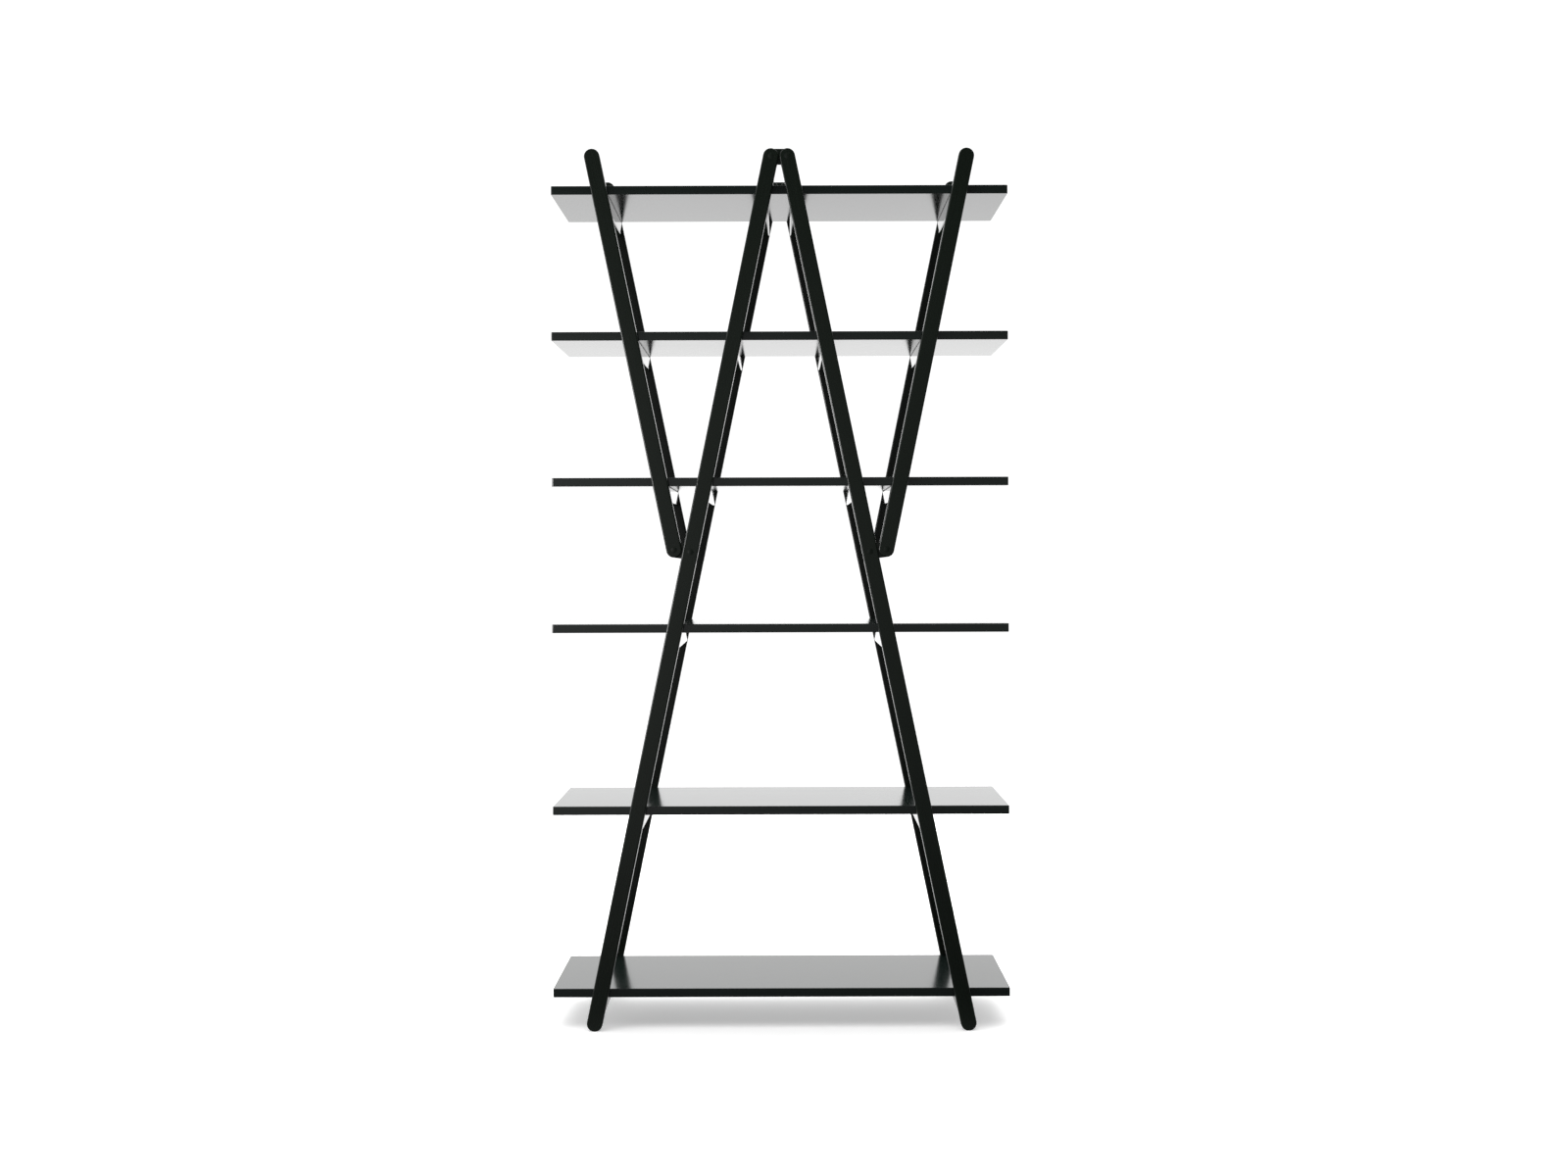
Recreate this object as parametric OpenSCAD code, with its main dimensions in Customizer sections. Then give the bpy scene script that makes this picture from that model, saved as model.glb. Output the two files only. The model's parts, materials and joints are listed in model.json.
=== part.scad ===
// Folding ladder bookcase. Two long ladders stand as an A, two short ladders lean outwards
// from halfway up, and six loose shelves lie across the rungs. All four ladders are joined by
// short links with a pivot at each end, so that they fold flat side by side.
// Millimetres. The floor is z = 0, the front looks towards -Y, and X = 0 is the middle.

/* [Shelves] */
// Length of a shelf, left to right
shelf_length = 1000; // [900:1:1200]
// Depth of a shelf, front to back
shelf_depth = 338; // [220:1:450]
// Thickness of a shelf
shelf_thickness = 19; // [12:0.5:25]
// Rounding of a shelf's four upright corners
shelf_corner_radius = 4; // [2:0.5:12]
// Rounding along a shelf's top and bottom edges
shelf_edge_radius = 1; // [0.5:0.25:4]
// Play between a shelf and the stiles in front of it and behind it
shelf_play = 1; // [0.5:0.25:3]
// Clearance between a shelf and the rungs under it, so that it slides out over them
shelf_seat_gap = 0.1; // [0.05:0.05:0.3]
// Height of the lowest shelf's underside above the floor
lowest_shelf_height = 68.5; // [60:0.5:90]
// Rise from shelf to shelf below the side links
lower_pitch = 398.5; // [350:0.5:420]
// Height of the third shelf's underside above the short ladders' lower pivots
third_shelf_rise = 139; // [110:0.5:170]
// Depth of the top shelf's underside below the top pivots
top_shelf_drop = 78.5; // [65:0.5:120]

/* [Ladders] */
// Lean of every ladder away from upright when the bookcase is open
lean = 11.65; // [9:0.05:14]
// Height of the two top pivots above the floor
top_pivot_height = 1903; // [1750:1:2100]
// Height of the short ladders' lower pivots above the floor
short_pivot_height = 1047; // [960:1:1150]
// Width of a stile, seen from the front
stile_width = 34; // [30:0.5:42]
// Thickness of a stile, front to back
stile_thickness = 25; // [20:0.5:36]
// Rounding along a stile's edges
stile_edge_radius = 3; // [1:0.25:5]
// Depth that a foot's round end is cut off flat to stand on the floor
foot_cut = 0.75; // [0.5:0.25:5]

/* [Rungs] */
// Width of a rung
rung_width = 28; // [20:0.5:30]
// Height of a rung
rung_height = 34.5; // [24:0.5:36]
// Rounding along a rung's edges
rung_edge_radius = 4; // [2:0.25:6]
// Width of a rung's tenon
tenon_width = 12; // [8:0.5:16]
// Height of a rung's tenon
tenon_height = 20; // [12:0.5:22]
// Length of a rung's tenon
tenon_length = 17; // [8:0.5:18]
// Glue gap round a tenon
tenon_gap = 0.1; // [0.05:0.05:0.3]

/* [Links and pins] */
// Gap between neighbouring stiles when the ladders are folded upright
folded_gap = 2; // [1:0.25:8]
// Tilt of the side links when the bookcase is open, higher at the short ladder
link_tilt = 7.5; // [4:0.1:9]
// Thickness of a link
link_thickness = 8.6; // [6:0.2:11]
// Rounding along a link's edges
link_edge_radius = 1; // [0.5:0.25:2]
// Running clearance on each side of a link in its slot
link_side_play = 0.2; // [0.1:0.05:0.5]
// Running clearance between a link's round end and the end of its slot
link_end_play = 1; // [0.5:0.25:3]
// Diameter of a pivot pin
pin_diameter = 8; // [6:0.5:12]
// Clearance on the radius between a pin and its holes
pin_play = 0.05; // [0.02:0.01:0.1]
// Diameter of a pin's low domed head
pin_head_diameter = 14; // [13:0.5:20]
// Height of a pin's head
pin_head_height = 1; // [0.6:0.1:2]

/* [Hidden] */
$fn = 64;
lacquer = [0.09, 0.1, 0.09];
pin_black = [0.14, 0.15, 0.14];
sides = [["left", -1], ["right", 1]];
faces = [["front", -1], ["rear", 1]];
upper_shelves = 3;
lower_shelves = 3;
shelf_count = upper_shelves + lower_shelves;
cut_margin = 1;
tenon_corner_radius = 2;
mortise_end_gap = 0.5;

// Undersides of the shelves, from the top one down
top_shelf_height = top_pivot_height - top_shelf_drop;
third_shelf_height = short_pivot_height + third_shelf_rise;
upper_pitch = (top_shelf_height - third_shelf_height) / (upper_shelves - 1);
shelf_heights = [for (i = [0 : shelf_count - 1]) i < upper_shelves
    ? top_shelf_height - i * upper_pitch
    : lowest_shelf_height + (shelf_count - 1 - i) * lower_pitch];

// Clear depth between the front and rear stiles, and the middle of a stile's thickness
clear_depth = shelf_depth + 2 * shelf_play;
stile_y = clear_depth / 2 + stile_thickness / 2;

// Links: the pivot spacing lets two stiles lie side by side
link_span = stile_width + folded_gap;
link_slot = link_thickness + 2 * link_side_play;
pin_hole = pin_diameter + 2 * pin_play;

// Long ladders, from the top pivot down to the centre of the round foot
top_pivot_x = link_span / 2;
foot_centre_height = stile_width / 2 - foot_cut;
long_stile_length = (top_pivot_height - foot_centre_height) / cos(lean);

// Side links, from the long ladder's pivot up and out to the short ladder's pivot
inner_pivot_height = short_pivot_height - link_span * sin(link_tilt);
inner_pivot_distance = (top_pivot_height - inner_pivot_height) / cos(lean);
inner_pivot_x = top_pivot_x + inner_pivot_distance * sin(lean);
short_pivot_x = inner_pivot_x + link_span * cos(link_tilt);

// Short ladders, which end level with the top pivots
short_stile_length = (top_pivot_height - short_pivot_height) / cos(lean);

// Depth of a fork, and half the height of the slot that lets a side link turn in a long stile
fork_depth = stile_width / 2 + link_end_play;
link_swing = lean - link_tilt;
side_slot_half = stile_width / 2 / cos(link_swing) + stile_width / 2 * tan(link_swing) + link_end_play;

function long_x(height) = top_pivot_x + (top_pivot_height - height) * tan(lean);
function short_x(height) = short_pivot_x + (height - short_pivot_height) * tan(lean);
function rung_centre(shelf) = shelf_heights[shelf] - shelf_seat_gap - rung_height / 2;

// Rectangle with round corners, centred
module rounded_rect(width, height, radius) {
    square([width - 2 * radius, height], center = true);
    square([width, height - 2 * radius], center = true);
    for (sx = [-1, 1], sy = [-1, 1])
        translate([sx * (width / 2 - radius), sy * (height / 2 - radius)]) circle(radius);
}

// Upright bar with full-round ends, whose end centres are the origin and [0, 0, length]
module round_bar(length, width, thickness, edge) {
    linear_extrude(length) rounded_rect(width, thickness, edge);
    for (end = [0, 1])
        translate([0, 0, end * length]) rotate([90, 0, 0]) rotate([0, 0, 180 * (1 - end)])
            rotate_extrude(angle = 180) intersection() {
                rounded_rect(width, thickness, edge);
                translate([0, -thickness]) square([width, 2 * thickness]);
            }
}

// Frames of reference: a long ladder hangs from its top pivot, a short one stands on its own
module on_long(side) translate([side * top_pivot_x, 0, top_pivot_height])
    rotate([0, -side * lean, 0]) children();
module on_short(side) translate([side * short_pivot_x, 0, short_pivot_height])
    rotate([0, side * lean, 0]) children();

// Slot right through a stile's width, from low to high along the stile
module slot(low, high) translate([-stile_width, -link_slot / 2, low])
    cube([2 * stile_width, link_slot, high - low]);

// Straight hole through a stile or a link, along Y
module cross_hole() rotate([90, 0, 0])
    cylinder(d = pin_hole, h = stile_thickness + 2 * cut_margin, center = true);

// Mortise for a rung's tenon, cut from both ladders' inner faces at once
module mortise(x, height) translate([x, 0, height]) rotate([90, 0, 0])
    linear_extrude(clear_depth + 2 * (tenon_length + mortise_end_gap), center = true)
        rounded_rect(tenon_width + 2 * tenon_gap, tenon_height + 2 * tenon_gap,
            tenon_corner_radius + tenon_gap);

// Pin with a low domed head on the stile's outer face, whose end is flush inside
module pivot_pin(face) {
    dome_radius = (pow(pin_head_diameter / 2, 2) + pow(pin_head_height, 2)) / (2 * pin_head_height);
    rotate([face * -90, 0, 0]) {
        cylinder(d = pin_diameter, h = stile_thickness, center = true);
        translate([0, 0, stile_thickness / 2]) intersection() {
            cylinder(d = pin_head_diameter, h = pin_head_height);
            translate([0, 0, pin_head_height - dome_radius]) sphere(dome_radius, $fn = 128);
        }
    }
}

module long_stile(side, face) color(lacquer) difference() {
    on_long(side) translate([0, face * stile_y, 0]) difference() {
        translate([0, 0, -long_stile_length])
            round_bar(long_stile_length, stile_width, stile_thickness, stile_edge_radius);
        slot(-fork_depth, stile_width);
        translate([0, 0, -inner_pivot_distance]) slot(-side_slot_half, side_slot_half);
        for (d = [0, inner_pivot_distance]) translate([0, 0, -d]) cross_hole();
    }
    for (i = [0 : shelf_count - 1]) mortise(side * long_x(rung_centre(i)), rung_centre(i));
    // Flat of the foot
    translate([side * long_x(foot_centre_height), face * stile_y, -stile_width])
        cube([4 * stile_width, 2 * stile_thickness, 2 * stile_width], center = true);
}

module short_stile(side, face) color(lacquer) difference() {
    on_short(side) translate([0, face * stile_y, 0]) difference() {
        round_bar(short_stile_length, stile_width, stile_thickness, stile_edge_radius);
        slot(-stile_width, fork_depth);
        cross_hole();
    }
    for (i = [0 : upper_shelves - 1]) mortise(side * short_x(rung_centre(i)), rung_centre(i));
}

module rung(x, height) color(lacquer) translate([x, 0, height]) rotate([90, 0, 0]) {
    linear_extrude(clear_depth, center = true) rounded_rect(rung_width, rung_height, rung_edge_radius);
    linear_extrude(clear_depth + 2 * tenon_length, center = true)
        rounded_rect(tenon_width, tenon_height, tenon_corner_radius);
}

module link() difference() {
    round_bar(link_span, stile_width, link_thickness, link_edge_radius);
    for (d = [0, link_span]) translate([0, 0, d]) cross_hole();
}

module top_link(face) color(lacquer)
    translate([-top_pivot_x, face * stile_y, top_pivot_height]) rotate([0, 90, 0]) link();

module side_link(side, face) color(lacquer)
    translate([side * inner_pivot_x, face * stile_y, inner_pivot_height])
        rotate([0, side * (90 - link_tilt), 0]) link();

module long_pins(side) color(pin_black) for (f = faces) on_long(side)
    for (d = [0, inner_pivot_distance]) translate([0, f[1] * stile_y, -d]) pivot_pin(f[1]);

module short_pins(side) color(pin_black) for (f = faces) on_short(side)
    translate([0, f[1] * stile_y, 0]) pivot_pin(f[1]);

module shelf(i) color(lacquer) translate([0, 0, shelf_heights[i] + shelf_thickness / 2]) intersection() {
    linear_extrude(shelf_thickness, center = true)
        rounded_rect(shelf_length, shelf_depth, shelf_corner_radius);
    rotate([90, 0, 90]) linear_extrude(shelf_length + 2 * cut_margin, center = true)
        rounded_rect(shelf_depth, shelf_thickness, shelf_edge_radius);
    rotate([90, 0, 0]) linear_extrude(shelf_depth + 2 * cut_margin, center = true)
        rounded_rect(shelf_length, shelf_thickness, shelf_edge_radius);
}

for (s = sides, f = faces) {
    long_stile(s[1], f[1]);
    short_stile(s[1], f[1]);
    side_link(s[1], f[1]);
}
for (s = sides, i = [0 : shelf_count - 1])
    rung(s[1] * long_x(rung_centre(i)), rung_centre(i));
for (s = sides, i = [0 : upper_shelves - 1])
    rung(s[1] * short_x(rung_centre(i)), rung_centre(i));
for (s = sides) long_pins(s[1]);
for (s = sides) short_pins(s[1]);
for (f = faces) top_link(f[1]);
for (i = [0 : shelf_count - 1]) shelf(i);
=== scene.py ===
# Folding ladder bookcase: four ladders of black lacquered wood, joined by short links,
# and six loose shelves that lie across the rungs.
import json
import math

import bpy
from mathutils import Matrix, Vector


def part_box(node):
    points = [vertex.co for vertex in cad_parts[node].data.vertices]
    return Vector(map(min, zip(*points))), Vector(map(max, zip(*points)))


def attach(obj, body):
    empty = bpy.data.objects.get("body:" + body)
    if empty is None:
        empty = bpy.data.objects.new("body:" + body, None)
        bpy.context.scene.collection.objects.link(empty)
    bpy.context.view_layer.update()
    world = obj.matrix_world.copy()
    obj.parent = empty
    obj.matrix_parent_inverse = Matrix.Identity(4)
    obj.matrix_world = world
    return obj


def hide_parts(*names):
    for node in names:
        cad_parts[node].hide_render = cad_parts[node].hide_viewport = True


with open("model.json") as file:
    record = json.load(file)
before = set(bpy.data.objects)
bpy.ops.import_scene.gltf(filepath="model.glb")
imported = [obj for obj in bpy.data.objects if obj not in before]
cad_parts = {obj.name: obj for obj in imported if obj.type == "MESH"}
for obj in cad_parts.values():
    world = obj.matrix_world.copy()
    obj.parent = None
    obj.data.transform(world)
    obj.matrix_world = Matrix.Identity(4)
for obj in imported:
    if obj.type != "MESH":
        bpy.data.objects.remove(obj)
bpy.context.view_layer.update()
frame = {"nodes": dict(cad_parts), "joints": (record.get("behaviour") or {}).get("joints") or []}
bpy.ops.object.select_all(action="DESELECT")
print("frame loaded:", len(frame["nodes"]), "nodes")

mm = 0.001
tiny = 1e-6
smoothBelow = math.radians(34)    # faces that meet at less than this are shaded as one
sides = {"left": -1, "right": 1}
faces = {"front": -1, "rear": 1}

# Places read from the frame. All of them are for the right-hand side, which the left one mirrors.
jointAt = {row["name"]: Vector(row["pos_m"]) for row in frame["joints"] if "pos_m" in row}
topPivot = jointAt["fold_right"]
innerPivot = jointAt["right_link_turn"]
shortPivot = jointAt["short_right_fold"]
lean = math.atan2(innerPivot.x - topPivot.x, topPivot.z - innerPivot.z)
linkTilt = math.atan2(shortPivot.z - innerPivot.z, shortPivot.x - innerPivot.x)
linkSpan = (shortPivot - innerPivot).length
longLow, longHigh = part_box("long_right_rear_stile")
shortLow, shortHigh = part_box("short_right_rear_stile")
stileWidth = 2 * (longHigh.z - topPivot.z)
stileThickness = longHigh.y - longLow.y
stileY = (longHigh.y + longLow.y) / 2
clearDepth = 2 * longLow.y
footX = longHigh.x - stileWidth / 2


# Selecting and placing

def selectOnly(piece):
    bpy.ops.object.select_all(action="DESELECT")
    piece.select_set(True)
    bpy.context.view_layer.objects.active = piece


def selectEdges(piece, wanted):
    # leaves edit mode open with the edges whose two ends pass the test selected
    bpy.ops.object.mode_set(mode="EDIT")
    bpy.ops.mesh.select_mode(type="EDGE")
    bpy.ops.mesh.select_all(action="DESELECT")
    bpy.ops.object.mode_set(mode="OBJECT")
    points = [vertex.co.copy() for vertex in piece.data.vertices]
    for edge in piece.data.edges:
        start, end = edge.vertices
        edge.select = wanted(points[start], points[end])
    bpy.ops.object.mode_set(mode="EDIT")


def selectFaces(piece, wanted):
    # the same for faces, tested by their centre and normal
    bpy.ops.object.mode_set(mode="EDIT")
    bpy.ops.mesh.select_mode(type="FACE")
    bpy.ops.mesh.select_all(action="DESELECT")
    bpy.ops.object.mode_set(mode="OBJECT")
    for face in piece.data.polygons:
        face.select = wanted(face.center, face.normal)
    bpy.ops.object.mode_set(mode="EDIT")


def addBlock(name, size, centre):
    bpy.ops.object.select_all(action="DESELECT")
    bpy.ops.mesh.primitive_cube_add(size=1, location=centre)
    block = bpy.context.active_object
    block.name = name
    block.scale = size
    bpy.ops.object.transform_apply(location=True, rotation=False, scale=True)
    return block


def addCrossCylinder(name, radius, depth, centre, steps):
    # a cylinder that runs front to back
    bpy.ops.object.select_all(action="DESELECT")
    bpy.ops.mesh.primitive_cylinder_add(vertices=steps, radius=radius, depth=depth,
                                        location=centre, rotation=(math.pi / 2, 0, 0))
    cylinder = bpy.context.active_object
    cylinder.name = name
    bpy.ops.object.transform_apply(location=True, rotation=True, scale=False)
    return cylinder


def cutAway(piece, cutter):
    selectOnly(piece)
    cut = piece.modifiers.new("cut", "BOOLEAN")
    cut.operation = "DIFFERENCE"
    cut.solver = "EXACT"
    cut.object = cutter
    bpy.ops.object.modifier_apply(modifier=cut.name)
    bpy.data.objects.remove(cutter)


def easeEdges(piece, width, segments, angle):
    selectOnly(piece)
    ease = piece.modifiers.new("ease", "BEVEL")
    ease.width = width
    ease.segments = segments
    ease.limit_method = "ANGLE"
    ease.angle_limit = angle
    bpy.ops.object.modifier_apply(modifier=ease.name)


def swing(piece, angle, shift):
    # turns a piece about the origin, as seen from the front, then moves it
    selectOnly(piece)
    piece.rotation_euler = (0, angle, 0)
    piece.location = shift
    bpy.ops.object.transform_apply(location=True, rotation=True, scale=False)


def copyPiece(original, name, shift=(0, 0, 0), mirror=(1, 1, 1)):
    selectOnly(original)
    bpy.ops.object.duplicate()
    piece = bpy.context.active_object
    piece.name = name
    piece.location = shift
    piece.scale = mirror
    bpy.ops.object.transform_apply(location=True, rotation=False, scale=True)
    bpy.ops.object.mode_set(mode="EDIT")
    bpy.ops.mesh.select_all(action="SELECT")
    bpy.ops.mesh.normals_make_consistent(inside=False)
    bpy.ops.object.mode_set(mode="OBJECT")
    return piece


def finishPiece(piece, material, body, node):
    selectOnly(piece)
    piece.data.materials.clear()
    piece.data.materials.append(material)
    bpy.ops.object.shade_smooth_by_angle(angle=smoothBelow)
    weigh = piece.modifiers.new("weigh", "WEIGHTED_NORMAL")
    weigh.keep_sharp = True
    bpy.ops.object.modifier_apply(modifier=weigh.name)
    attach(piece, body)
    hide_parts(node)


# Shader sheets

class Wire:
    # an output of a shader node, which can be added, taken away and multiplied
    def __init__(self, sheet, socket):
        self.sheet = sheet
        self.socket = socket

    def __add__(self, other):
        return self.sheet.maths("ADD", self, other)

    def __radd__(self, other):
        return self.sheet.maths("ADD", other, self)

    def __sub__(self, other):
        return self.sheet.maths("SUBTRACT", self, other)

    def __rsub__(self, other):
        return self.sheet.maths("SUBTRACT", other, self)

    def __mul__(self, other):
        return self.sheet.maths("MULTIPLY", self, other)

    def __rmul__(self, other):
        return self.sheet.maths("MULTIPLY", other, self)


class Sheet:
    # a node tree that is laid out by code
    def __init__(self, owner):
        owner.use_nodes = True
        self.tree = owner.node_tree
        self.tree.nodes.clear()

    def node(self, kind, settings, inputs):
        made = self.tree.nodes.new(kind)
        for name, value in settings.items():
            setattr(made, name, value)
        for name, value in inputs.items():
            socket = made.inputs[name] if isinstance(name, int) else self.named(made.inputs, name)
            if isinstance(value, Wire):
                self.tree.links.new(value.socket, socket)
            else:
                socket.default_value = value
        return made

    def named(self, sockets, name):
        return next(socket for socket in sockets if socket.enabled and socket.name == name)

    def wire(self, kind, settings, inputs, output=None):
        made = self.node(kind, settings, inputs)
        shown = [socket for socket in made.outputs if socket.enabled]
        return Wire(self, self.named(shown, output) if output else shown[0])

    def maths(self, operation, first, second):
        return self.wire("ShaderNodeMath", {"operation": operation}, {0: first, 1: second})

    def noise(self, place, scale, detail, roughness=0.5):
        return self.wire("ShaderNodeTexNoise", {},
                         {"Vector": place, "Scale": scale, "Detail": detail, "Roughness": roughness})

    def spread(self, value, low, high, newLow=0, newHigh=1):
        return self.wire("ShaderNodeMapRange", {"interpolation_type": "SMOOTHSTEP"},
                         {"Value": value, "From Min": low, "From Max": high,
                          "To Min": newLow, "To Max": newHigh})

    def blendColors(self, factor, first, second):
        return self.wire("ShaderNodeMix", {"data_type": "RGBA"},
                         {"Factor": factor, "A": first, "B": second})


# Finishes

frameLacquer = {
    "deep": (0.0030, 0.0070, 0.0036, 1),
    "worn": (0.0060, 0.0108, 0.0066, 1),
    "roughness": 0.24,
    "roughnessSpread": 0.05,
    "poreRoughness": 0.06,        # added inside the pores
    "grainScale": 700,            # pores per metre across the grain
    "grainStretch": 0.035,        # how much longer a pore is than wide
    "grainDepth": 0.0012 * mm,
}
rungLacquer = {
    **frameLacquer,
    "roughness": 0.06,
    "roughnessSpread": 0.02,
    "grainDepth": 0.0003 * mm,
}


def lacqueredWood(name, turn, look):
    # satin lacquer that lets a close grain show; turn brings the grain's direction upright
    material = bpy.data.materials.new(name)
    sheet = Sheet(material)
    place = sheet.wire("ShaderNodeTexCoord", {}, {}, "Object")
    upright = sheet.wire("ShaderNodeMapping", {}, {"Vector": place, "Rotation": turn})
    drawnOut = sheet.wire("ShaderNodeMapping", {},
                          {"Vector": upright, "Scale": (1, 1, look["grainStretch"])})
    pores = sheet.noise(drawnOut, look["grainScale"], 3, 0.6)
    figure = sheet.noise(drawnOut, look["grainScale"] / 12, 2)
    handling = sheet.noise(place, 9, 4)
    pits = sheet.spread(pores, 0.36, 0.52)
    color = sheet.blendColors(figure * 0.5 + handling * 0.5, look["deep"], look["worn"])
    roughness = look["roughness"] + look["roughnessSpread"] * (handling - 0.5)
    roughness = roughness + look["poreRoughness"] * (1 - pits)
    bump = sheet.wire("ShaderNodeBump", {},
                      {"Height": pits + 0.7 * figure, "Strength": 1.0, "Distance": look["grainDepth"]})
    surface = sheet.wire("ShaderNodeBsdfPrincipled", {},
                         {"Base Color": color, "Roughness": roughness, "IOR": 1.4, "Normal": bump})
    sheet.node("ShaderNodeOutputMaterial", {}, {"Surface": surface})
    return material


shelfLacquer = {
    "deep": (0.0056, 0.0105, 0.0088, 1),
    "pale": (0.0086, 0.0143, 0.0124, 1),
    "roughness": 0.15,
    "roughnessSpread": 0.03,
    "peelScale": 260,             # ripples of the sprayed lacquer per metre
    "peelDepth": 0.001 * mm,
}


def sprayedLacquer(name):
    # smooth semi-gloss lacquer, with the faint ripple that a spray gun leaves
    look = shelfLacquer
    material = bpy.data.materials.new(name)
    sheet = Sheet(material)
    place = sheet.wire("ShaderNodeTexCoord", {}, {}, "Object")
    ripple = sheet.noise(place, look["peelScale"], 1)
    haze = sheet.noise(place, 5, 4)
    color = sheet.blendColors(haze, look["deep"], look["pale"])
    roughness = look["roughness"] + look["roughnessSpread"] * (haze - 0.5)
    bump = sheet.wire("ShaderNodeBump", {},
                      {"Height": ripple, "Strength": 1.0, "Distance": look["peelDepth"]})
    surface = sheet.wire("ShaderNodeBsdfPrincipled", {},
                         {"Base Color": color, "Roughness": roughness, "IOR": 1.5, "Normal": bump})
    sheet.node("ShaderNodeOutputMaterial", {}, {"Surface": surface})
    return material


pinEnamel = {
    "enamel": (0.0040, 0.0080, 0.0046, 1),
    "rubbed": (0.0080, 0.0125, 0.0086, 1),
    "roughness": 0.5,
    "rubbedRoughness": 0.06,      # added where it is rubbed
}


def enamelledSteel(name):
    # black enamel, rubbed a little paler here and there
    look = pinEnamel
    material = bpy.data.materials.new(name)
    sheet = Sheet(material)
    place = sheet.wire("ShaderNodeTexCoord", {}, {}, "Object")
    rub = sheet.spread(sheet.noise(place, 300, 5, 0.7), 0.55, 0.75)
    color = sheet.blendColors(rub, look["enamel"], look["rubbed"])
    roughness = look["roughness"] + look["rubbedRoughness"] * rub
    bump = sheet.wire("ShaderNodeBump", {},
                      {"Height": sheet.noise(place, 1500, 2), "Strength": 1.0, "Distance": 0.001 * mm})
    surface = sheet.wire("ShaderNodeBsdfPrincipled", {},
                         {"Base Color": color, "Roughness": roughness, "IOR": 1.3, "Normal": bump})
    sheet.node("ShaderNodeOutputMaterial", {}, {"Surface": surface})
    return material


woodLeaningLeft = lacqueredWood("frame_lacquer_leaning_left", (0, lean, 0), frameLacquer)
woodLeaningRight = lacqueredWood("frame_lacquer_leaning_right", (0, -lean, 0), frameLacquer)
woodFrontToBack = lacqueredWood("frame_lacquer_front_to_back", (math.pi / 2, 0, 0), rungLacquer)
woodLeftToRight = lacqueredWood("frame_lacquer_left_to_right", (0, math.pi / 2, 0), frameLacquer)
shelfFinish = sprayedLacquer("shelf_lacquer")
pinFinish = enamelledSteel("pivot_pins")
print("finishes made")


# Bars with full-round ends, for the stiles and the links

def addRoundBar(name, span, width, thickness, edgeRadius, steps, edgeSteps):
    # upright, with its end centres at the origin and at (0, 0, span)
    bar = addBlock(name, (width, thickness, span + width), (0, 0, span / 2))
    selectEdges(bar, lambda a, b: abs(a.y - b.y) > thickness / 2)
    bpy.ops.mesh.bevel(offset=width / 2, segments=steps, affect="EDGES")
    bpy.ops.mesh.select_all(action="SELECT")
    bpy.ops.mesh.remove_doubles(threshold=tiny)
    bpy.ops.object.mode_set(mode="OBJECT")
    selectEdges(bar, lambda a, b: abs(a.y - b.y) < tiny and abs(abs(a.y) - thickness / 2) < tiny)
    bpy.ops.mesh.bevel(offset=edgeRadius, segments=edgeSteps, affect="EDGES")
    bpy.ops.object.mode_set(mode="OBJECT")
    return bar


joint = {
    "linkThickness": 8.6 * mm,
    "linkEdge": 1 * mm,
    "slot": 9 * mm,
    "endPlay": 1 * mm,
    "pin": 8 * mm,
    "pinHole": 8.1 * mm,
    "headDiameter": 14 * mm,
    "headHeight": 1 * mm,
    "holeSteps": 40,
    "headSteps": 48,
    "headRings": 6,
    "headRim": 0.2 * mm,          # the straight part below the dome
    "shankInset": 0.5 * mm,
    "linkEdgeSteps": 3,
    "slotEase": 0.5 * mm,
    "slotEaseAngle": math.radians(50),
}
stile = {
    "edge": 3 * mm,
    "endSteps": 16,
    "edgeSteps": 4,
    "tenonWidth": 12.2 * mm,      # of the mortise: the tenon and its glue gap
    "tenonHeight": 20.2 * mm,
    "mortiseDepth": 17.5 * mm,
    "mortiseEdge": 2.1 * mm,
    "mortiseEdgeSteps": 4,
}


# as in part.scad; the photograph shows no second and third rung on the long ladders
rungCount = {"long": 6, "short": 3}


def rungPlaces(ladder):
    # the middle of each rung of a right-hand ladder, by its number from the top
    places = {}
    for number in range(1, rungCount[ladder] + 1):
        low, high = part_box(f"{ladder}_right_rung_{number}")
        places[number] = (low + high) / 2
    return places


def cutMortises(bar, places):
    # in the inner face of a rear stile
    for place in places.values():
        depth = stile["mortiseDepth"]
        centre = (place.x, clearDepth / 2 + depth / 2 - tiny, place.z)
        mortise = addBlock("mortise", (stile["tenonWidth"], depth, stile["tenonHeight"]), centre)
        selectEdges(mortise, lambda a, b: abs(a.y - b.y) > depth / 2)
        bpy.ops.mesh.bevel(offset=stile["mortiseEdge"], segments=stile["mortiseEdgeSteps"],
                           affect="EDGES")
        bpy.ops.object.mode_set(mode="OBJECT")
        cutAway(bar, mortise)


def cutSlot(bar, low, high):
    # right through the bar's width, for a link
    cutAway(bar, addBlock("slot", (3 * stileWidth, joint["slot"], high - low), (0, 0, (low + high) / 2)))


def cutPinHole(bar, height):
    cutAway(bar, addCrossCylinder("hole", joint["pinHole"] / 2, 2 * stileThickness,
                                  (0, 0, height), joint["holeSteps"]))


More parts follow.
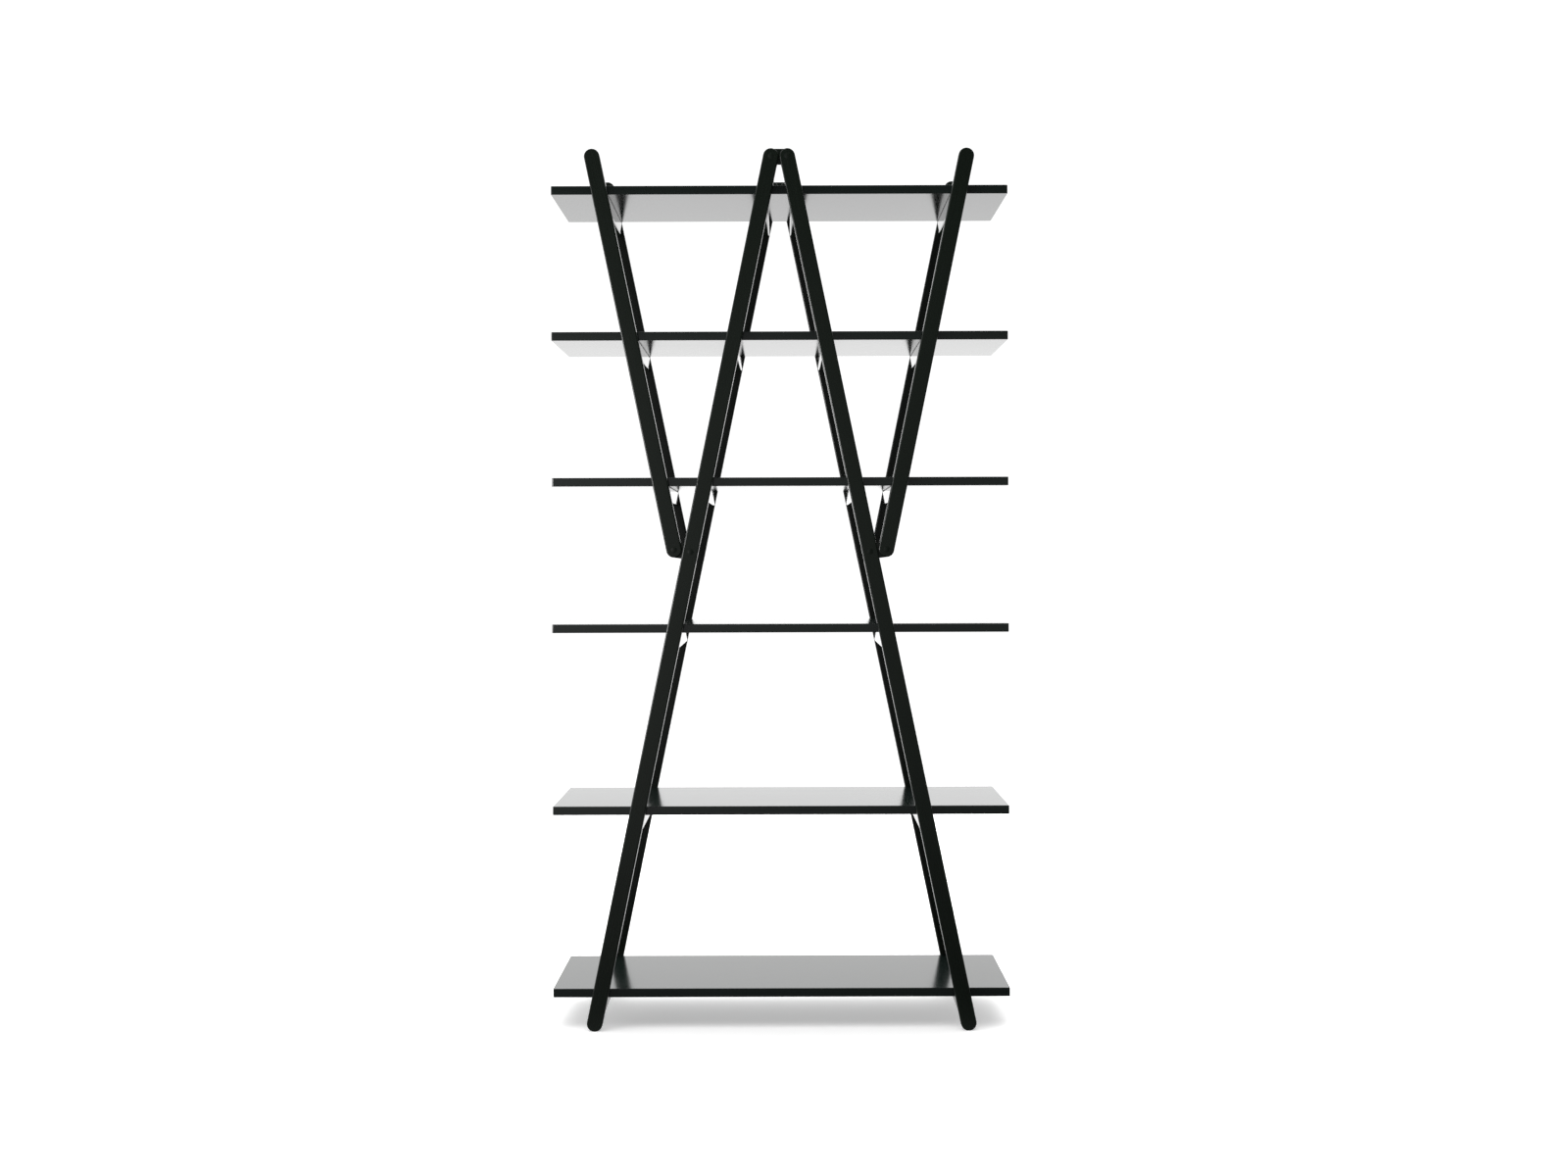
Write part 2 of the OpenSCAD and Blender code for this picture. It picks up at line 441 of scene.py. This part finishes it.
def addLongStile():
    # modelled hanging from the top pivot, then leaned to its place at the rear right
    length = (footX - topPivot.x) / math.sin(lean)
    innerDistance = (innerPivot - topPivot).length
    fork = stileWidth / 2 + joint["endPlay"]
    turn = lean - linkTilt
    slotHalf = stileWidth / 2 * (1 / math.cos(turn) + math.tan(turn)) + joint["endPlay"]
    bar = addRoundBar("long_stile", length, stileWidth, stileThickness, stile["edge"],
                      stile["endSteps"], stile["edgeSteps"])
    swing(bar, 0, (0, 0, -length))
    cutSlot(bar, -fork, stileWidth)
    cutSlot(bar, -innerDistance - slotHalf, -innerDistance + slotHalf)
    easeEdges(bar, joint["slotEase"], 2, joint["slotEaseAngle"])
    cutPinHole(bar, 0)
    cutPinHole(bar, -innerDistance)
    swing(bar, -lean, topPivot + Vector((0, stileY, 0)))
    cutMortises(bar, rungPlaces("long"))
    return bar


def cutFoot(bar):
    # the flat that stands on the floor
    selectOnly(bar)
    bpy.ops.object.mode_set(mode="EDIT")
    bpy.ops.mesh.select_all(action="SELECT")
    bpy.ops.mesh.bisect(plane_co=(0, 0, 0), plane_no=(0, 0, 1), use_fill=True, clear_inner=True)
    bpy.ops.object.mode_set(mode="OBJECT")


def addShortStile():
    # modelled standing on its pivot, then leaned to its place at the rear right
    length = (shortHigh.z - stileWidth / 2 - shortPivot.z) / math.cos(lean)
    bar = addRoundBar("short_stile", length, stileWidth, stileThickness, stile["edge"],
                      stile["endSteps"], stile["edgeSteps"])
    cutSlot(bar, -stileWidth, stileWidth / 2 + joint["endPlay"])
    easeEdges(bar, joint["slotEase"], 2, joint["slotEaseAngle"])
    cutPinHole(bar, 0)
    swing(bar, lean, shortPivot + Vector((0, stileY, 0)))
    cutMortises(bar, rungPlaces("short"))
    return bar


longStile = addLongStile()
cutFoot(longStile)
shortStile = addShortStile()
for side, sideSign in sides.items():
    for face, faceSign in faces.items():
        mirror = (sideSign, faceSign, 1)
        piece = copyPiece(longStile, f"stile_long_{side}_{face}", mirror=mirror)
        wood = woodLeaningRight if sideSign < 0 else woodLeaningLeft
        finishPiece(piece, wood, f"long_{side}", f"long_{side}_{face}_stile")
        piece = copyPiece(shortStile, f"stile_short_{side}_{face}", mirror=mirror)
        wood = woodLeaningLeft if sideSign < 0 else woodLeaningRight
        finishPiece(piece, wood, f"short_{side}", f"short_{side}_{face}_stile")
bpy.data.objects.remove(longStile)
bpy.data.objects.remove(shortStile)
print("stiles made")


# Rungs, with a tenon at each end

rungShape = {
    "edge": 4 * mm,
    "edgeSteps": 5,
    "tenonWidth": 12 * mm,
    "tenonHeight": 20 * mm,
    "tenonEdge": 2 * mm,
    "tenonEdgeSteps": 3,
}


def addRung():
    low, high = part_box("long_right_rung_1")
    size = high - low
    tenonLength = (size.y - clearDepth) / 2
    bar = addBlock("rung", (size.x, clearDepth, size.z), (0, 0, 0))
    selectEdges(bar, lambda a, b: abs(a.y - b.y) > clearDepth / 2)
    bpy.ops.mesh.bevel(offset=rungShape["edge"], segments=rungShape["edgeSteps"], affect="EDGES")
    bpy.ops.object.mode_set(mode="OBJECT")
    tenon = addBlock("tenon", (rungShape["tenonWidth"], clearDepth + 2 * tenonLength,
                               rungShape["tenonHeight"]), (0, 0, 0))
    selectEdges(tenon, lambda a, b: abs(a.y - b.y) > clearDepth / 2)
    bpy.ops.mesh.bevel(offset=rungShape["tenonEdge"], segments=rungShape["tenonEdgeSteps"],
                       affect="EDGES")
    bpy.ops.object.mode_set(mode="OBJECT")
    selectOnly(bar)
    join = bar.modifiers.new("join", "BOOLEAN")
    join.operation = "UNION"
    join.solver = "EXACT"
    join.object = tenon
    bpy.ops.object.modifier_apply(modifier=join.name)
    bpy.data.objects.remove(tenon)
    return bar


rung = addRung()
for ladder in rungCount:
    for number, place in rungPlaces(ladder).items():
        for side, sideSign in sides.items():
            piece = copyPiece(rung, f"rung_{ladder}_{side}_{number}",
                              shift=(sideSign * place.x, 0, place.z))
            finishPiece(piece, woodFrontToBack, f"{ladder}_{side}",
                        f"{ladder}_{side}_rung_{number}")
bpy.data.objects.remove(rung)
print("rungs made")


# Links

def addLink():
    bar = addRoundBar("link", linkSpan, stileWidth, joint["linkThickness"], joint["linkEdge"],
                      stile["endSteps"], joint["linkEdgeSteps"])
    cutPinHole(bar, 0)
    cutPinHole(bar, linkSpan)
    return bar


link = addLink()
for face, faceSign in faces.items():
    depth = Vector((0, faceSign * stileY, 0))
    piece = copyPiece(link, f"link_top_{face}")
    swing(piece, math.pi / 2, Vector((-topPivot.x, 0, topPivot.z)) + depth)
    finishPiece(piece, woodLeftToRight, "top_links", f"top_{face}_link")
    for side, sideSign in sides.items():
        piece = copyPiece(link, f"link_{side}_{face}")
        place = Vector((sideSign * innerPivot.x, 0, innerPivot.z)) + depth
        swing(piece, sideSign * (math.pi / 2 - linkTilt), place)
        finishPiece(piece, woodLeftToRight, f"{side}_links", f"{side}_{face}_link")
bpy.data.objects.remove(link)
print("links made")


# Pivot pins with low domed heads

def addPin():
    # for the rear face: the shank fills the stile's thickness and the head is behind it
    headRadius = joint["headDiameter"] / 2
    height = joint["headHeight"]
    rim = joint["headRim"]
    domeRadius = (headRadius ** 2 + height ** 2) / (2 * height)
    rings = joint["headRings"]
    step = headRadius / (rings + 0.5)
    pin = addCrossCylinder("pin", headRadius, rim, (0, stileThickness / 2 + rim / 2, 0),
                           joint["headSteps"])
    reached = 0
    for ring in range(1, rings + 1):
        radius = headRadius * (1 - ring / (rings + 0.5))
        risen = math.sqrt(domeRadius ** 2 - radius ** 2) - (domeRadius - height) - rim
        selectFaces(pin, lambda centre, normal: normal.y > 0.99 and math.hypot(centre.x, centre.z) < tiny)
        bpy.ops.mesh.inset(thickness=step, depth=max(risen - reached, 0), use_even_offset=False)
        bpy.ops.object.mode_set(mode="OBJECT")
        reached = max(risen, reached)
    selectFaces(pin, lambda centre, normal: normal.y < -0.99)
    bpy.ops.mesh.inset(thickness=headRadius - joint["pin"] / 2, depth=0)
    bpy.ops.mesh.extrude_region_move(TRANSFORM_OT_translate={"value": (0, -stileThickness, 0)})
    bpy.ops.mesh.inset(thickness=joint["shankInset"], depth=0)
    bpy.ops.object.mode_set(mode="OBJECT")
    return pin


def addPinSet(name, places, sideSign, pin):
    # front and rear pins of one ladder, joined as one piece
    pins = []
    for place in places:
        for faceSign in faces.values():
            shift = (sideSign * place.x, faceSign * stileY, place.z)
            pins.append(copyPiece(pin, name, shift=shift, mirror=(1, faceSign, 1)))
    bpy.ops.object.select_all(action="DESELECT")
    for each in pins:
        each.select_set(True)
    bpy.context.view_layer.objects.active = pins[0]
    bpy.ops.object.join()
    return pins[0]


pin = addPin()
for side, sideSign in sides.items():
    piece = addPinSet(f"pins_long_{side}", [topPivot, innerPivot], sideSign, pin)
    finishPiece(piece, pinFinish, f"long_{side}", f"long_{side}_pins")
    piece = addPinSet(f"pins_short_{side}", [shortPivot], sideSign, pin)
    finishPiece(piece, pinFinish, f"short_{side}", f"short_{side}_pins")
bpy.data.objects.remove(pin)
print("pins made")


# Shelves

board = {
    "cornerRadius": 4 * mm,
    "cornerSteps": 6,
    "edgeRadius": 1 * mm,
    "edgeSteps": 3,
}


def addBoard():
    low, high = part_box("shelf_1")
    size = high - low
    slab = addBlock("board", size, (0, 0, 0))
    selectEdges(slab, lambda a, b: abs(a.z - b.z) > size.z / 2)
    bpy.ops.mesh.bevel(offset=board["cornerRadius"], segments=board["cornerSteps"], affect="EDGES")
    bpy.ops.object.mode_set(mode="OBJECT")
    selectEdges(slab, lambda a, b: abs(a.z - b.z) < tiny)
    bpy.ops.mesh.bevel(offset=board["edgeRadius"], segments=board["edgeSteps"], affect="EDGES")
    bpy.ops.object.mode_set(mode="OBJECT")
    return slab


slab = addBoard()
for number in range(1, 7):
    low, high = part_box(f"shelf_{number}")
    piece = copyPiece(slab, f"board_{number}", shift=(low + high) / 2)
    finishPiece(piece, shelfFinish, f"shelf_{number}", f"shelf_{number}")
bpy.data.objects.remove(slab)
print("shelves made")


# Floor and light

studio = {
    "backdrop": 1.15,             # what the camera sees behind the object
    "around": 1.32,               # light from behind and from the left
    "bandLeft": 0.60,             # the pale band behind the camera, level with the lens
    "bandRight": 0.23,
    "frontLow": 0.055,            # all else behind the camera
    "floorRadius": 9,
    "floorGlow": 0.4,
    "floorWhite": 0.9,
    "floorFar": 0.38,             # painted glow of the floor in front of the object, as the lacquer sees it; floorNear, floorLeft and floorRight shape the same painted light and shade
    "floorNear": 0.12,
    "floorLeft": 1.45,
    "floorRight": 0.55,
    "aim": (-0.2, 0, 1.1),        # what the softboxes point at
    "softboxes": {
        "behind": {"place": (0, 3.2, 2.3), "size": (3.0, 3.0), "power": 150, "mirrored": False},
        "overhead": {"place": (-0.5, -1.6, 4.5), "size": (4.0, 4.0), "power": 90, "mirrored": False},
        "left": {"place": (-2.4, -1.5, 1.2), "size": (2.6, 0.7), "power": 75, "mirrored": True},
    },
}


def addFloor():
    bpy.ops.object.select_all(action="DESELECT")
    bpy.ops.mesh.primitive_circle_add(vertices=96, radius=studio["floorRadius"], fill_type="NGON")
    floor = bpy.context.active_object
    floor.name = "floor"
    material = bpy.data.materials.new("floor")
    sheet = Sheet(material)
    white = studio["floorWhite"]
    lit = sheet.wire("ShaderNodeBsdfPrincipled", {},
                     {"Base Color": (white, white, white, 1), "Roughness": 1.0,
                      "Specular IOR Level": 0.0, "Emission Color": (1, 1, 1, 1),
                      "Emission Strength": studio["floorGlow"]})
    # rays other than the camera's see the floor glow with painted light and shade instead of being lit:
    # it falls dark towards the camera and to the right, as the room does
    place = sheet.wire("ShaderNodeTexCoord", {}, {}, "Object")
    parts = sheet.node("ShaderNodeSeparateXYZ", {}, {"Vector": place})
    width = Wire(sheet, parts.outputs["X"])
    depth = Wire(sheet, parts.outputs["Y"])
    front = sheet.spread(depth, -5, 0.6, studio["floorFar"], studio["floorNear"])
    front = front * sheet.spread(width, -1.2, 0.8, studio["floorLeft"], studio["floorRight"])
    paintedFloorGlow = front + sheet.spread(depth, -0.5, 0.9, 0, studio["around"])
    # painted light and shade: the floor's glow as the lacquer mirrors it
    mirrored = sheet.wire("ShaderNodeEmission", {}, {"Color": (1, 1, 1, 1), "Strength": paintedFloorGlow})
    seen = sheet.wire("ShaderNodeLightPath", {}, {}, "Is Camera Ray")
    surface = sheet.wire("ShaderNodeMixShader", {}, {0: seen, 1: mirrored, 2: lit})
    sheet.node("ShaderNodeOutputMaterial", {}, {"Surface": surface})
    floor.data.materials.append(material)


def lightStudio():
    # white all round for the camera; the lacquer sees it dim in front and to the right
    world = bpy.data.worlds.new("studio")
    bpy.context.scene.world = world
    sheet = Sheet(world)
    direction = sheet.wire("ShaderNodeTexCoord", {}, {}, "Generated")
    parts = sheet.node("ShaderNodeSeparateXYZ", {}, {"Vector": direction})
    width = Wire(sheet, parts.outputs["X"])
    depth = Wire(sheet, parts.outputs["Y"])
    height = Wire(sheet, parts.outputs["Z"])
    seen = sheet.wire("ShaderNodeLightPath", {}, {}, "Is Camera Ray")
    behind = sheet.spread(depth - 0.45 * width, -0.8, 0.1, 0, studio["around"]) * (1 - 0.1 * height)
    behind = behind * sheet.spread(height * height, 0, 0.02, 1.2, 1)
    band = sheet.spread(width, -0.2, 0.1, studio["bandLeft"], studio["bandRight"])
    band = band * sheet.spread(height * height, 0, 0.045, 1, 0) * sheet.spread(depth, -0.97, -0.8, 1, 0)
    strength = seen * studio["backdrop"] + (1 - seen) * (behind + band + studio["frontLow"])
    background = sheet.wire("ShaderNodeBackground", {}, {"Color": (1, 1, 1, 1), "Strength": strength})
    sheet.node("ShaderNodeOutputWorld", {}, {"Surface": background})


def addSoftbox(name, place, size, power, mirrored):
    # aimed at the bookcase, out of the camera's sight; it is either seen mirrored or lights, not both
    aim = (Vector(studio["aim"]) - Vector(place)).to_track_quat("-Z", "Y").to_euler()
    bpy.ops.object.light_add(type="AREA", location=place, rotation=aim)
    softbox = bpy.context.active_object
    softbox.name = name
    softbox.data.shape = "RECTANGLE"
    softbox.data.size, softbox.data.size_y = size
    softbox.data.energy = power
    softbox.visible_camera = False
    softbox.visible_glossy = mirrored
    softbox.visible_diffuse = not mirrored


addFloor()
lightStudio()
for name, settings in studio["softboxes"].items():
    addSoftbox(f"softbox_{name}", **settings)
bpy.context.scene.view_settings.view_transform = "Standard"
print("studio lit")


# Camera: the photograph's place, lens and framing

view = {
    "place": (0.0103, -4.25, 1.0335),
    "lens": 42.84,
    "sensor": 36,
    "shift": -0.0206,
    "roll": 0.00312,
    "yaw": 0.00053,
}
bpy.ops.object.camera_add(location=view["place"], rotation=(math.pi / 2, view["roll"], view["yaw"]))
camera = bpy.context.active_object
camera.data.lens = view["lens"]
camera.data.sensor_width = view["sensor"]
camera.data.shift_y = view["shift"]
bpy.context.scene.camera = camera
